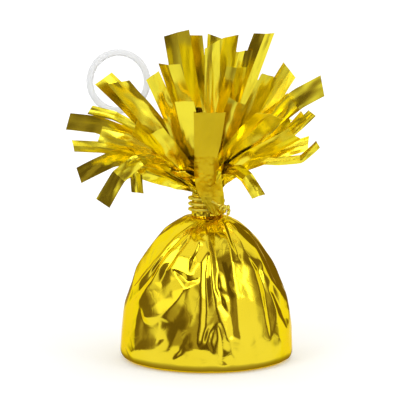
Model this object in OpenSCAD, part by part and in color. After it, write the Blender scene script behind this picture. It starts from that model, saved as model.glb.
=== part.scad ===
// Foil-wrapped balloon weight: a plaster-filled dome gathered up in foil, tied at the neck
// under a burst of slit foil strips, with a clear ring on a flexible stalk for the ribbons.
// Millimetres. +Z is up, -Y faces the viewer, and the origin is at the middle of the underside.
// Azimuths are degrees from -Y towards +X.

/* [Weight] */
// Diameter of the plastic dome that holds the plaster
dome_d = 71; // [64:1:80]
// Height of the dome
dome_h = 61; // [54:1:70]
// Wall of the dome
dome_wall = 0.9; // [0.6:0.1:1.6]
// Rounding at the dome's foot
foot_r = 3.2; // [2.4:0.2:5]
// Thickness of the board that closes the dome
board_t = 1.5; // [1:0.1:2.5]

/* [Wrap] */
// Thickness of the foil wrap
foil_t = 0.35; // [0.3:0.05:0.5]
// Height of the deepest fold over the dome
fold_h = 1.7; // [1:0.1:2.4]
// Diameter of the gathered neck
neck_d = 12.4; // [12:0.2:14]
// Height of the gathered neck
neck_h = 8.5; // [8.5:0.5:11]

/* [Fringe] */
// Widest reach of the strips from the middle
fringe_reach = 58; // [52:1:64]
// Rise of the highest strip above the neck
fringe_rise = 69; // [62:1:76]
// Width of a full strip
strip_w = 9; // [7.5:0.5:10]
// Thickness of a strip
strip_t = 0.3; // [0.25:0.05:0.4]

/* [Tie] */
// Diameter of the tie's sleeve
tie_d = 1.5; // [1.3:0.1:1.6]
// Diameter of the wire inside the sleeve
wire_d = 0.6; // [0.4:0.1:0.8]
// Rise of the tie in one turn
tie_pitch = 2.2; // [2.1:0.05:2.4]

/* [Ring] */
// Outer diameter of the ring
ring_d = 27.2; // [24:0.4:30]
// Diameter of the hole that the ribbons go through
ring_hole_d = 21.6; // [19:0.2:22]
// Thickness of the ring
ring_t = 2.4; // [2.3:0.1:3]
// Diameter of the stalk
stalk_d = 2; // [1.6:0.1:2.2]
// Distance from the neck's top to the middle of the ring
stalk_len = 60.5; // [57:0.5:62]
// Lean of the stalk to the side, in degrees
ring_lean = 38.6; // [37:0.2:40]
// Lean of the stalk away from the viewer, in degrees
ring_back = 11; // [10:0.5:12]

/* [Hidden] */
$fn = 72;

gold = [0.86, 0.70, 0.06];
deep_gold = [0.78, 0.60, 0.04];
clear_plastic = [0.92, 0.93, 0.94, 0.6];

// Fits and overruns
cast_gap = 0.1;
skin_gap = 0.15;
seat_gap = 0.3;
rest_gap = 0.1;
cut_over = 1;

// Fineness of the facets
fold_columns = 72;
arc_steps = 4;
dome_steps = 15;
outline_steps = 24;
swing_steps = 6;
strip_steps = 10;

// Levels: the dome stands on the foil that runs under it
floor_z = foil_t + rest_gap;
wrap_a = dome_d / 2 + skin_gap + foil_t;
wrap_b = floor_z + dome_h + skin_gap + foil_t;
neck_r = neck_d / 2;
shoulder_angle = acos(neck_r / wrap_a);
neck_low_z = wrap_b * sin(shoulder_angle);
neck_top_z = neck_low_z + neck_h;
root_low_z = floor_z + dome_h + seat_gap;

// A point at an azimuth, a distance from the axis and a height
function around(azimuth, r, z) = [r * sin(azimuth), -r * cos(azimuth), z];
function unit(v) = v / norm(v);
function clamp(x) = max(0, min(1, x));
function ease(x) = let (c = clamp(x)) c * c * (3 - 2 * c);
function quad(a, b, c, d) = [[a, b, c], [a, c, d]];
function flat_list(l) = [for (a = l) for (b = a) b];

// Dome outlines: half an ellipse on a rounded foot, as [radius, height, angle of the outward normal]
function foot_side(a, b, c) = a * cos(asin(c / b));
function foot_arc(a, b, z0, c) = [
    for (i = [0:arc_steps]) let (t = 90 * i / arc_steps)
        [foot_side(a, b, c) - c + c * sin(t), z0 + c - c * cos(t), t - 90]
];
function dome_arc(a, b, z0, c, last, steps) = let (first = asin(c / b)) [
    for (i = [1:steps]) let (t = first + (last - first) * i / steps)
        [a * cos(t), z0 + b * sin(t), atan2(a * sin(t), b * cos(t))]
];
function outline(a, b, z0, c, last, steps) =
    concat(foot_arc(a, b, z0, c), dome_arc(a, b, z0, c, last, steps));
function in_plan(rows) = [for (row = rows) [row[0], row[1]]];
function reversed(l) = [for (i = [len(l) - 1:-1:0]) l[i]];

mouth_r = foot_side(dome_d / 2, dome_h, foot_r) - foot_r;
stalk_r = stalk_d / 2;

// Anchor that the plaster is cast around, with a barbed foot
anchor_foot_d = 14;
anchor_foot_t = 1.6;
anchor_depth = 26;
anchor_flare_h = 3;
// The stem ends below the rounded end that the ring's stalk turns on
stem_top_z = neck_top_z - stalk_r - skin_gap;

module anchor_shape(grow, low_z, high_z) {
    translate([0, 0, low_z - grow])
        cylinder(r = anchor_foot_d / 2 + grow, h = anchor_foot_t + 2 * grow);
    translate([0, 0, low_z + anchor_foot_t + grow - cast_gap])
        cylinder(r1 = anchor_foot_d / 4 + grow, r2 = stalk_r + grow, h = anchor_flare_h);
    translate([0, 0, low_z])
        cylinder(r = stalk_r + grow, h = high_z - low_z);
}

anchor_low_z = floor_z + dome_h - anchor_depth;

module ring_anchor() {
    color(clear_plastic) anchor_shape(0, anchor_low_z, stem_top_z);
}

// Cast plaster, from the board to the inside of the dome
module plaster_fill() {
    inset = dome_wall + cast_gap;
    rows = outline(
        dome_d / 2 - inset, dome_h - inset - dome_wall, floor_z + dome_wall,
        foot_r - dome_wall, 90, outline_steps
    );
    color("whitesmoke") difference() {
        rotate_extrude() polygon(concat([[0, floor_z + dome_wall]], in_plan(rows)));
        translate([0, 0, floor_z - cut_over])
            cylinder(r = mouth_r, h = board_t + cast_gap + cut_over);
        anchor_shape(cast_gap, anchor_low_z, floor_z + dome_h + cut_over);
    }
}

// Thin moulded dome with a lip turned in at the foot and a hole for the stalk at the top
module dome_cup() {
    outer = outline(dome_d / 2, dome_h, floor_z, foot_r, 90, outline_steps);
    inner = outline(
        dome_d / 2 - dome_wall, dome_h - 2 * dome_wall, floor_z + dome_wall,
        foot_r - dome_wall, 90, outline_steps
    );
    color("white") difference() {
        rotate_extrude() polygon(concat(in_plan(outer), reversed(in_plan(inner))));
        translate([0, 0, floor_z + dome_h - 2 * dome_wall - cut_over])
            cylinder(r = stalk_r + skin_gap, h = 2 * (dome_wall + cut_over));
    }
}

// Board that closes the dome's mouth
module base_board() {
    color("tan") translate([0, 0, floor_z])
        cylinder(r = mouth_r - skin_gap, h = board_t);
}

// Main folds of the wrap: azimuth at the foot, drift towards the neck, half width at the foot,
// height as a share of fold_h, and the shares of the way up where it starts and ends
fold_shares = [
    [-172, 6, 13, 0.7, 0.05, 1], [-148, 4, 9, 0.9, 0.2, 1], [-126, -4, 12, 0.65, 0.0, 1],
    [-104, 5, 9, 0.85, 0.3, 1], [-84, 12, 10, 0.8, 0.1, 1], [-62, 18, 9, 1.0, 0.25, 1],
    [-43, 14, 8, 0.9, 0.35, 1], [-27, 10, 8, 0.7, 0.0, 1], [-9, 4, 7, 0.85, 0.0, 1],
    [6, -4, 6, 1.0, 0.0, 1], [22, -6, 7, 0.75, 0.0, 0.9], [41, -12, 10, 0.55, 0.05, 1],
    [62, -16, 9, 0.8, 0.15, 1], [84, -10, 11, 0.7, 0.0, 1], [106, -4, 9, 0.9, 0.2, 1],
    [129, 3, 12, 0.65, 0.0, 1], [151, 5, 9, 0.85, 0.25, 1]
];
fold_fade = 0.16;
fold_narrowing = 0.25;
pleat_share = 0.34;
pleat_low_share = 0.45;
pleats = 24;
neck_pleat_h = 0.3;
// Share of a fold's height that is left where the neck begins
neck_fold_share = 0.33;

function turn(a) = let (b = a % 360) b > 180 ? b - 360 : b < -180 ? b + 360 : b;
// Height of one fold at an azimuth and a share of the way up
function fold_at(f, azimuth, up) = let (
        half = f[2] * (1 + fold_narrowing * up),
        off = abs(turn(azimuth - f[0] - f[1] * up)) / half,
        on = f[4] == 0 ? 1 : ease((up - f[4]) / fold_fade + 1 / 2)
    ) f[3] * on * clamp(1 - off) * (f[5] == 1 ? 1 : 1 - ease((up - f[5]) / fold_fade + 1 / 2));
// Narrow pleats that run down from the neck
function pleat_at(azimuth, up) = let (phase = ((azimuth + 360) * pleats / 360) % 1)
    pleat_share * ease((up - pleat_low_share) / (1 - pleat_low_share))
    * (phase < 1 / 2 ? 2 * phase : 2 - 2 * phase);
function wrap_fold(azimuth, up) =
    fold_h * ease(up / fold_fade + fold_fade)
    * min(1, max([for (f = fold_shares) fold_at(f, azimuth, up)]) * (1 - up / 2) + pleat_at(azimuth, up));

// One side of the wrap, as rows of points from the edge of the flat underside to the neck's rim
function wrap_side(a, b, z0, c, r_neck) = let (
        rows = outline(a, b, z0, c, shoulder_angle, dome_steps),
        last = len(rows) - 1,
        neck_z0 = rows[last][1]
    ) concat(
        [for (j = [0:last]) let (row = rows[j], up = clamp((j - arc_steps) / dome_steps)) [
            for (i = [0:fold_columns - 1]) let (
                azimuth = 360 * i / fold_columns,
                h = j < 2 ? 0 : wrap_fold(azimuth, up) * (j == last ? neck_fold_share : 1)
            ) around(azimuth, row[0] + h * cos(row[2]), row[1] + max(0, h * sin(row[2])))
        ]],
        [for (k = [1:2]) [
            for (i = [0:fold_columns - 1]) let (azimuth = 360 * i / fold_columns)
                around(azimuth, r_neck - neck_pleat_h * (i % 3) / 2, neck_z0 + (neck_top_z - neck_z0) * k / 2)
        ]]
    );

module foil_wrap() {
    outside = wrap_side(wrap_a, wrap_b, 0, foot_r + skin_gap + foil_t, neck_r);
    inside = wrap_side(
        wrap_a - foil_t, wrap_b - 2 * foil_t, foil_t, foot_r + skin_gap, neck_r - foil_t
    );
    n = fold_columns;
    rows = len(outside);
    start = rows * n;
    body = flat_list([
        for (j = [0:rows - 2]) for (i = [0:n - 1]) let (k = (i + 1) % n, a = j * n, b = a + n) concat(
            quad(a + i, b + i, b + k, a + k),
            quad(start + a + k, start + b + k, start + b + i, start + a + i)
        )
    ]);
    top = (rows - 1) * n;
    rim = flat_list([for (i = [0:n - 1]) let (k = (i + 1) % n)
        quad(top + i, start + top + i, start + top + k, top + k)]);
    color(gold) polyhedron(
        points = concat(flat_list(outside), flat_list(inside)),
        faces = concat([[for (i = [0:n - 1]) i]], [[for (i = [n - 1:-1:0]) start + i]], body, rim)
    );
}

// Twist tie: one unbroken tube whose two ends twist together at the front of the neck
tie_turns = 3;
tie_azimuth = 32;
tie_low = 1.2;
tie_gap = 0.15;
strand_gap = 0.7;
loop_rings = 24;
twist_turns = 1;
twist_len = 5.6;
twist_steps = 10;
cross_steps = 9;
cross_share = 0.2;

tie_r = neck_r + tie_gap + tie_d / 2;
tie_low_z = neck_low_z + tie_low;
tie_high_z = tie_low_z + tie_turns * tie_pitch;
strand_off = (tie_d + strand_gap) / 2;

function blended(a, b, t) = a + (b - a) * t;
// Point on a curve drawn by four points
function curve_at(p, t) =
    pow(1 - t, 3) * p[0] + 3 * t * pow(1 - t, 2) * p[1] + 3 * t * t * (1 - t) * p[2] + pow(t, 3) * p[3];

// One strand's crossing from the neck to the twisted pair, and its half of the pair.
// side is -1 for the lower strand, which comes from the right, and 1 for the upper one, from the left.
out = around(tie_azimuth, 1, 0);
along = around(tie_azimuth + 90, 1, 0);
mid_z = (tie_low_z + tie_high_z) / 2;
twist_root = out * (tie_r + tie_d + strand_gap) + [0, 0, mid_z];
twist_start = twist_root + out * tie_d;
twist_phase = 60;
function strand_offset(side, angle) = side * strand_off * (along * -cos(angle) + [0, 0, sin(angle)]);
function crossing(side) = let (
        azimuth = tie_azimuth - side * cross_share * 180,
        start = around(azimuth, tie_r, side > 0 ? tie_high_z : tie_low_z),
        heading = around(azimuth + side * 90, 1, 0),
        leave = out * tie_d / 2,
        end = twist_start + strand_offset(side, twist_phase),
        p = [start, start + heading * tie_d + leave, end - out * tie_d + [0, 0, side * tie_d / 2], end]
    ) [for (i = [1:cross_steps]) curve_at(p, i / cross_steps)];
function twisted(side) = [
    for (i = [1:twist_steps]) let (t = i / twist_steps)
        twist_start + out * twist_len * t + strand_offset(side, twist_phase + 360 * twist_turns * t)
];
function straight_end(l) = let (n = len(l), end = l[n - 1]) [end + unit(end - l[n - 2]) * tie_d];
function strand(side) = let (s = concat(crossing(side), twisted(side))) concat(s, straight_end(s));
wound_angle = 360 * (tie_turns - cross_share);
wound_steps = ceil(loop_rings * wound_angle / 360);
wound = [
    for (i = [0:wound_steps]) let (t = i / wound_steps)
        around(tie_azimuth + cross_share * 180 + wound_angle * t, tie_r, blended(tie_low_z, tie_high_z, t))
];
tie_path = concat(reversed(strand(-1)), wound, strand(1));

function heading_at(path, i) = unit(path[min(i + 1, len(path) - 1)] - path[max(i - 1, 0)]);
function ring_points(path, i, r) = let (
        t = heading_at(path, i),
        u = unit([0, 0, 1] - t[2] * t),
        v = cross(t, u)
    ) [for (k = [0:tie_sides - 1]) path[i] + r * (u * cos(360 * k / tie_sides) + v * sin(360 * k / tie_sides))];
function tube_points(path, r) = flat_list([for (i = [0:len(path) - 1]) ring_points(path, i, r)]);
function tube_wall(rows, n, first, outward) = flat_list([
    for (j = [0:rows - 2]) for (i = [0:n - 1]) let (
        a = first + j * n + i, b = first + j * n + (i + 1) % n, c = b + n, d = a + n
    ) outward ? quad(a, d, c, b) : quad(a, b, c, d)
]);
function tube_rim(n, first, second, outward) = flat_list([
    for (i = [0:n - 1]) let (k = (i + 1) % n)
        outward ? quad(first + i, first + k, second + k, second + i)
        : quad(first + i, second + i, second + k, first + k)
]);
tie_sides = 6;
sleeve_bore_r = wire_d / 2 + skin_gap;

module tie_sleeve() {
    rows = len(tie_path);
    count = rows * tie_sides;
    color(deep_gold) polyhedron(
        points = concat(tube_points(tie_path, tie_d / 2), tube_points(tie_path, sleeve_bore_r)),
        faces = concat(
            tube_wall(rows, tie_sides, 0, true),
            tube_wall(rows, tie_sides, count, false),
            tube_rim(tie_sides, 0, count, true),
            tube_rim(tie_sides, count - tie_sides, 2 * count - tie_sides, false)
        )
    );
}

module tie_wire() {
    rows = len(tie_path);
    first = [for (i = [1:tie_sides - 2]) [0, i, i + 1]];
    far = (rows - 1) * tie_sides;
    last = [for (i = [1:tie_sides - 2]) [far, far + i + 1, far + i]];
    color("silver") polyhedron(
        points = tube_points(tie_path, wire_d / 2),
        faces = concat(tube_wall(rows, tie_sides, 0, true), first, last)
    );
}

// Least gap of the tie to itself, measured between points that lie further apart along it
apart = ceil(3 * tie_d / (2 * PI * tie_r / loop_rings));
tie_self_gap = min([
    for (i = [0:len(tie_path) - 1]) for (j = [i + apart:1:len(tie_path) - 1])
        norm(tie_path[i] - tie_path[j])
]) - tie_d;
echo(tie_self_gap = tie_self_gap);

// Gathered foil that fills the neck, in three steps that the layers of strips rise from
step_shares = [0.72, 0.5];
step_rs = [neck_r - foil_t - seat_gap, neck_r * step_shares[0], neck_r * step_shares[1]];
gather_pleats = 36;
gather_pleat = 0.35;
step_h = 1.5;
// The stalk swings back over this side of the neck, from one azimuth to the other
swing_from = -70;
swing_to = -176;
// Room for the stalk's rounded end
socket_r = stalk_r + 3 * seat_gap;

module pleated_disc(r, h) {
    linear_extrude(height = h) polygon([
        for (i = [0:2 * gather_pleats - 1]) let (a = 180 * i / gather_pleats, at = r - (i % 2) * gather_pleat)
            [at * sin(a), -at * cos(a)]
    ]);
}

module neck_gather() {
    height = neck_top_z - root_low_z;
    reach = 2 * neck_r;
    color(deep_gold) difference() {
        translate([0, 0, root_low_z]) union() {
            pleated_disc(step_rs[0], height);
            pleated_disc(step_rs[1], height + step_h);
            pleated_disc(step_rs[2], height + 2 * step_h);
        }
        translate([0, 0, root_low_z - cut_over])
            cylinder(r = stalk_r + skin_gap, h = height + cut_over + step_h);
        translate([0, 0, stem_top_z - stalk_r / 2])
            cylinder(r = socket_r, h = 2 * neck_h);
        translate([0, 0, neck_top_z]) linear_extrude(height = neck_h) polygon([
            [0, 0],
            for (i = [0:swing_steps]) let (a = blended(swing_from, swing_to, i / swing_steps))
                [reach * sin(a), -reach * cos(a)]
        ]);
    }
}

// Ring for the ribbons, facing the viewer at the end of its leaning stalk. Its hole has a straight wall.
land_share = 0.5;
round_steps = 8;
module tie_ring() {
    hole_r = ring_hole_d / 2;
    band = ring_d / 2 - hole_r;
    round_r = ring_t / 2;
    land = round_r * land_share;
    ease_r = round_r - land;
    middle_r = ring_d / 2 - round_r;
    stalk_end = stalk_len - hole_r - band / 2;
    color(clear_plastic) translate([0, 0, neck_top_z]) rotate([0, -ring_lean, 0]) rotate([-ring_back, 0, 0]) {
        rotate_extrude() polygon(concat(
            [[0, stalk_end], [0, -stalk_r]],
            [for (i = [1:round_steps]) let (a = 90 * i / round_steps - 90)
                [stalk_r * cos(a), stalk_r * sin(a)]],
            [[stalk_r, stalk_end]]
        ));
        translate([0, 0, stalk_len]) rotate([90, 0, 0]) {
            rotate_extrude() translate([middle_r, 0]) circle(r = round_r);
            rotate_extrude() polygon([
                [hole_r, -land], [hole_r + ease_r, -round_r], [middle_r, -round_r],
                [middle_r, round_r], [hole_r + ease_r, round_r], [hole_r, land]
            ]);
        }
    }
}

// Strips. Each table is one side of a layer, in order of azimuth. A row holds the azimuth of the tip,
// its reach and rise, how far along the knee of the curve lies, how far it bows up there, the width,
// the roll of the strip about its own line in degrees, how far its end is cut on the slant, and the
// climb of its first leg.
outer_left_shares = [
    [-89, 1, 0.44, 0.6, 0.19, 0.8, -65, 0.2, 0.2],
    [-84, 0.83, 0.55, 0.6, 0.16, 0.5, -60, 0.3, 0.22],
    [-80, 0.98, 0.315, 0.6, 0.13, 0.55, -70, -0.2, 0.2],
    [-75, 0.52, 0.035, 1.25, 0.3, 0.55, -85, 0.2, 0.1],
    [-72, 0.96, 0.165, 0.64, 0.27, 0.75, -60, 0.2, 0.2],
    [-66, 0.85, 0.41, 0.6, 0.12, 0.85, -72, 0.3, 0.15],
    [-54.5, 0.91, 0.025, 0.74, 0.385, 0.7, -35, 0.1, 0.3],
    [-47, 0.74, 0.47, 0.6, 0.065, 0.8, -78, 0.2, 0.155],
    [-36, 0.5, 0.2, 0.7, 0.06, 0.45, -50, 0.3, 0.08]
];
outer_front_shares = [
    [-28, 0.62, 0.42, 0.6, 0.06, 0.9, 24, 0.2, 0.08],
    [-18, 0.52, 0.24, 0.65, 0.06, 0.6, 6, -0.2, 0.08],
    [2, 0.5, 0.27, 0.6, 0.05, 0.75, -6, 0.2, 0.08],
    [14, 0.56, 0.24, 0.65, 0.06, 0.8, 6, -0.2, 0.08]
];
outer_right_shares = [
    [33, 0.71, 0.045, 0.63, 0.24, 0.62, 40, 0.3, 0.24],
    [47, 0.86, 0.465, 0.6, 0.02, 0.9, -50, -0.2, 0.17],
    [60, 0.94, 0.365, 0.77, -0.19, 0.4, 65, 0, 0.44],
    [66, 0.775, 0.52, 0.69, -0.09, 0.45, 60, 0.2, 0.22],
    [71, 0.745, 0.363, 0.6, 0.02, 0.7, 60, 0.3, 0.22],
    [82, 0.78, 0.51, 0.69, -0.09, 0.45, 60, -0.2, 0.22]
];
outer_back_shares = [
    [104, 0.64, 0.4, 0.6, 0.03, 0.85, 50, 0.3, 0.16],
    [121, 0.8, 0.3, 0.65, 0.1, 0.8, -35, 0.2, 0.16],
    [139, 0.86, 0.36, 0.6, 0.05, 0.9, 20, -0.3, 0.14],
    [157, 0.78, 0.2, 0.7, 0.12, 0.8, -8, 0.2, 0.14],
    [175, 0.84, 0.34, 0.6, 0.04, 0.85, 12, 0.3, 0.12],
    [192, 0.8, 0.05, 0.7, 0.14, 0.8, -10, -0.2, 0.1],
    [210, 0.84, 0.16, 0.65, 0.04, 0.85, 20, 0.2, 0.06],
    [228, 0.8, 0.02, 0.7, 0.1, 0.8, -30, 0.3, 0.06],
    [247, 0.68, 0.13, 0.65, 0.03, 0.85, -50, -0.2, 0.06]
];
middle_left_shares = [
    [-77, 0.78, 0.73, 0.55, 0.07, 1, -65, 0.3, 0.14],
    [-61, 0.7, 0.73, 0.6, 0.04, 1.05, -80, 0.8, 0.14],
    [-48, 0.52, 0.765, 0.6, 0, 0.75, 42, 0.4, 0.12]
];
middle_front_shares = [
    [-17, 0.57, 0.6, 0.6, 0.02, 0.9, 4, 0, 0.05],
    [-10, 0.42, 0.62, 0.6, 0.03, 0.7, -6, 0.1, 0.05],
    [3, 0.63, 0.55, 0.6, 0.02, 1.3, 0, 0, 0.05],
    [25, 0.5, 0.61, 0.6, 0.02, 0.9, -14, -0.1, 0.05],
    [36, 0.76, 0.58, 0.6, 0.06, 1.25, -30, 0.3, 0.07],
    [46, 0.62, 0.765, 0.6, 0.02, 0.75, -50, 0.2, 0.05]
];
middle_right_shares = [
    [60, 0.51, 0.74, 0.6, 0, 0.6, -50, 0.2, 0.05],
    [76, 0.62, 0.6, 0.6, 0.03, 0.8, 70, 0.2, 0.05],
    [94, 0.84, 0.66, 0.56, 0.16, 0.95, 60, 0.3, 0.2],
    [106, 0.64, 0.735, 0.6, 0.02, 0.95, 50, 0.3, 0.05]
];
middle_back_shares = [
    [120, 0.7, 0.52, 0.6, 0.03, 0.9, 45, 0.2, 0.05],
    [136, 0.55, 0.68, 0.6, 0.03, 0.85, 25, -0.2, 0.05],
    [152, 0.72, 0.5, 0.6, 0.03, 0.9, 8, 0.3, 0.05],
    [168, 0.58, 0.68, 0.6, 0.03, 0.9, -8, 0.2, 0.05],
    [184, 0.72, 0.46, 0.6, 0.03, 0.85, 8, -0.2, 0.05]
];
crown_left_shares = [
    [-66, 0.24, 0.995, 0.6, 0, 1.2, 60, 0.1, 0.06],
    [-36, 0.41, 0.86, 0.6, 0, 1.15, 20, 0, 0.06]
];
crown_front_shares = [
    [22, 0.2, 0.93, 0.6, 0, 0.85, -10, 0.4, 0.06],
    [38, 0.35, 0.83, 0.6, 0.02, 0.9, -38, 0.2, 0.06]
];
crown_right_shares = [
    [59, 0.34, 0.88, 0.6, 0.02, 0.7, -45, 0.3, 0.06],
    [88, 0.4, 1, 0.6, 0, 0.95, -55, 0.3, 0.06],
    [108, 0.2, 0.96, 0.6, 0, 0.8, -78, 0.3, 0.06]
];
crown_back_shares = [
    [134, 0.34, 0.84, 0.6, 0.02, 0.9, 25, 0.2, 0.06],
    [158, 0.19, 0.95, 0.6, 0, 0.88, 8, 0.3, 0.06],
    [184, 0.4, 0.8, 0.6, 0, 0.9, -6, -0.2, 0.06],
    [235, 0.14, 0.97, 0.6, 0, 1.1, -55, 0.1, 0.06]
];

// Roots of the strips
root_depth = 0.85;
root_clear = 0.3;
lean_share = 0.4;
full_share = 0.6;
widen_share = 0.12;
thin_share = 0.3;
crease_share = 0.12;
slant_share = 0.6;
// Bends across the strips, taken in turn: how far along each lies, and how steeply the strip turns there
bend_shares = [[0.5, 0.1], [0.62, -0.11], [0.4, 0.06], [0.7, 0.14], [0.55, -0.08]];

function root_at(layer) = layer == 2 ? (step_rs[2] - gather_pleat + socket_r) / 2
    : (step_rs[layer] - gather_pleat + step_rs[layer + 1]) / 2;
function root_width(layer, span, count) =
    2 * PI * (root_at(layer) - root_depth / 2) * span / 360 / count - root_clear;
function strip_curve(s, layer, azimuth) = let (
        z0 = neck_top_z + layer * step_h,
        climb = s[8] * fringe_rise,
        tip = around(s[0], s[1] * fringe_reach, neck_top_z + s[2] * fringe_rise),
        knee_z = neck_top_z + (s[2] * s[3] + s[4]) * fringe_rise
    ) [
        around(azimuth, root_at(layer), z0),
        around(azimuth, root_at(layer) + lean_share * climb, z0 + climb),
        around(s[0], s[1] * s[3] * fringe_reach, knee_z), tip
    ];

// Six points round the strip at one place along it: a shallow V, which opens from the gathered root
function strip_section(p, s, azimuth, wide, t, sign, bend) = let (
        step = 1 / strip_steps,
        ahead = curve_at(p, min(1, t + step / 2)) - curve_at(p, max(0, t - step / 2)),
        heading = t == 0 ? [0, 0, 1] : unit(ahead),
        level = around(blended(azimuth, s[0], ease(t)) + 90, 1, 0),
        flat_side = unit(level - (level * heading) * heading),
        flat_up = cross(heading, flat_side),
        roll = s[6] * ease(t / full_share),
        side = flat_side * cos(roll) + flat_up * sin(roll),
        up = cross(heading, side),
        half = blended(wide, s[5] * strip_w, ease((t - widen_share) / (full_share - widen_share))) / 2,
        thick = blended(root_depth, strip_t, ease(t / thin_share)) / 2,
        sink = sign * crease_share * 2 * half * ease(t / full_share),
        bent = bend[1] * max(0, t - bend[0]) * fringe_reach,
        slant = s[7] * half * ease((t - slant_share) / (1 - slant_share))
    ) [for (c = [[-1, -1], [0, -1], [1, -1], [1, 1], [0, 1], [-1, 1]])
        curve_at(p, t) + side * half * c[0] + heading * slant * c[0]
        + up * (bent + sink * (1 - abs(c[0])) + thick * c[1])];

module strip(s, layer, azimuth, wide, sign, bend) {
    curve = strip_curve(s, layer, azimuth);
    sections = [
        for (j = [0:strip_steps]) strip_section(curve, s, azimuth, wide, j / strip_steps, sign, bend)
    ];
    last = strip_steps * section_sides;
    ends = [[0, 1, 4], [0, 4, 5], [1, 2, 3], [1, 3, 4]];
    polyhedron(
        points = flat_list(sections),
        faces = concat(
            tube_wall(strip_steps + 1, section_sides, 0, true),
            ends,
            [for (f = ends) [last + f[2], last + f[1], last + f[0]]]
        )
    );
}
section_sides = 6;

// One side of a layer, whose roots share the step between two azimuths
module layer_side(shares, layer, from, to) {
    count = len(shares);
    wide = min(strip_w, root_width(layer, to - from, count));
    color(gold) for (i = [0:count - 1])
        strip(
            shares[i], layer, blended(from, to, (i + 1 / 2) / count), wide, i % 2 == 0 ? 1 : -1,
            bend_shares[i % len(bend_shares)]
        );
}

module outer_fringe_left() {
    layer_side(outer_left_shares, 0, -104, -37);
}
module outer_fringe_front() {
    layer_side(outer_front_shares, 0, -35, 25);
}
module outer_fringe_right() {
    layer_side(outer_right_shares, 0, 25, 95);
}
module outer_fringe_back() {
    layer_side(outer_back_shares, 0, 97, 253);
}
module middle_fringe_left() {
    layer_side(middle_left_shares, 1, -78, -40);
}
module middle_fringe_front() {
    layer_side(middle_front_shares, 1, -30, 46);
}
module middle_fringe_right() {
    layer_side(middle_right_shares, 1, 50, 112);
}
module middle_fringe_back() {
    layer_side(middle_back_shares, 1, 115, 187);
}
module crown_fringe_left() {
    layer_side(crown_left_shares, 2, -68, -34);
}
module crown_fringe_front() {
    layer_side(crown_front_shares, 2, -20, 42);
}
module crown_fringe_right() {
    layer_side(crown_right_shares, 2, 50, 112);
}
module crown_fringe_back() {
    layer_side(crown_back_shares, 2, 129, 187);
}

plaster_fill();
dome_cup();
base_board();
foil_wrap();
neck_gather();
tie_sleeve();
tie_wire();
ring_anchor();
tie_ring();
outer_fringe_left();
outer_fringe_front();
outer_fringe_right();
outer_fringe_back();
middle_fringe_left();
middle_fringe_front();
middle_fringe_right();
middle_fringe_back();
crown_fringe_left();
crown_fringe_front();
crown_fringe_right();
crown_fringe_back();
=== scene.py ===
import math
import random

import bpy
import numpy as np
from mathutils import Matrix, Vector, noise
from mathutils.geometry import delaunay_2d_cdt


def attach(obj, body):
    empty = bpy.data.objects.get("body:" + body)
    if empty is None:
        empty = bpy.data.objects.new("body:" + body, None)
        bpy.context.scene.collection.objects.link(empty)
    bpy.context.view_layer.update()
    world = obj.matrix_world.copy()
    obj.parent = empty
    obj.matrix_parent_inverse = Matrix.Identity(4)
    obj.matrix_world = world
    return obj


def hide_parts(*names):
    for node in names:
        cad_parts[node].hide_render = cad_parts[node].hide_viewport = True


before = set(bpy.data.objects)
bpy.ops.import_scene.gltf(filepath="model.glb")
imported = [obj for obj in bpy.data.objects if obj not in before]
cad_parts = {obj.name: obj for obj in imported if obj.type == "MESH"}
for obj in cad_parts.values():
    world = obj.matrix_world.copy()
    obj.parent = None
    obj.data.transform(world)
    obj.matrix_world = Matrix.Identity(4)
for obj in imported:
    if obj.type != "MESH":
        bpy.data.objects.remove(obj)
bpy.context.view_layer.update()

# Shapes are worked out in millimetres, as in part.scad, and made in metres. The rest is in metres.
MM = 0.001
UP = np.array([0, 0, 1.0])


# Small helpers
def around(azimuth, r, z):
    """A point at an azimuth in degrees from -Y towards +X, a distance from the axis and a height."""
    a = math.radians(azimuth)
    return np.array([r * math.sin(a), -r * math.cos(a), z])


def unit(v):
    return v / np.linalg.norm(v)


def clamp(x, low=0.0, high=1.0):
    return max(low, min(high, x))


def ease(x):
    """A smooth step from 0 to 1 while x goes from 0 to 1."""
    c = clamp(x)
    return c * c * (3 - 2 * c)


def blended(a, b, t):
    return a + (b - a) * t


def bezier(p, t):
    return (1 - t) ** 3 * p[0] + 3 * t * (1 - t) ** 2 * p[1] + 3 * t * t * (1 - t) * p[2] + t ** 3 * p[3]


def add_mesh(name, points, faces, sharp=None):
    """A mesh object from points in millimetres. Edges that bend more than the angle sharp stay hard."""
    mesh = bpy.data.meshes.new(name)
    mesh.from_pydata((np.asarray(points) * MM).tolist(), [], faces)
    mesh.validate()
    mesh.polygons.foreach_set("use_smooth", [True] * len(mesh.polygons))
    if sharp:
        mesh.set_sharp_from_angle(angle=math.radians(sharp))
    mesh.update()
    obj = bpy.data.objects.new(name, mesh)
    bpy.context.scene.collection.objects.link(obj)
    return obj


def band_faces(rows, n, first=0, closed=True, flip=False):
    """Faces between the rows of a grid, n points to a row."""
    faces = []
    for j in range(rows - 1):
        for i in range(n if closed else n - 1):
            a = first + j * n + i
            b = first + j * n + (i + 1) % n
            quad = (a, b, b + n, a + n)
            faces.append(quad[::-1] if flip else quad)
    return faces


def sleeve_faces(rows, n):
    """Faces of a closed sleeve of film: an outer and an inner grid, and the rim along their last rows."""
    second, last = rows * n, (rows - 1) * n
    faces = band_faces(rows, n) + band_faces(rows, n, second, flip=True)
    for i in range(n):
        k = (i + 1) % n
        faces.append((last + i, last + k, second + last + k, second + last + i))
    return faces


# Materials
def cleared(owner):
    """The nodes of a material or world, all taken out."""
    owner.use_nodes = True
    owner.node_tree.nodes.clear()
    return owner.node_tree.nodes


def join(output, node, name):
    """Links an output to a node's input, which has a name or a number."""
    node.id_data.links.new(output, node.inputs[name])


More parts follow.
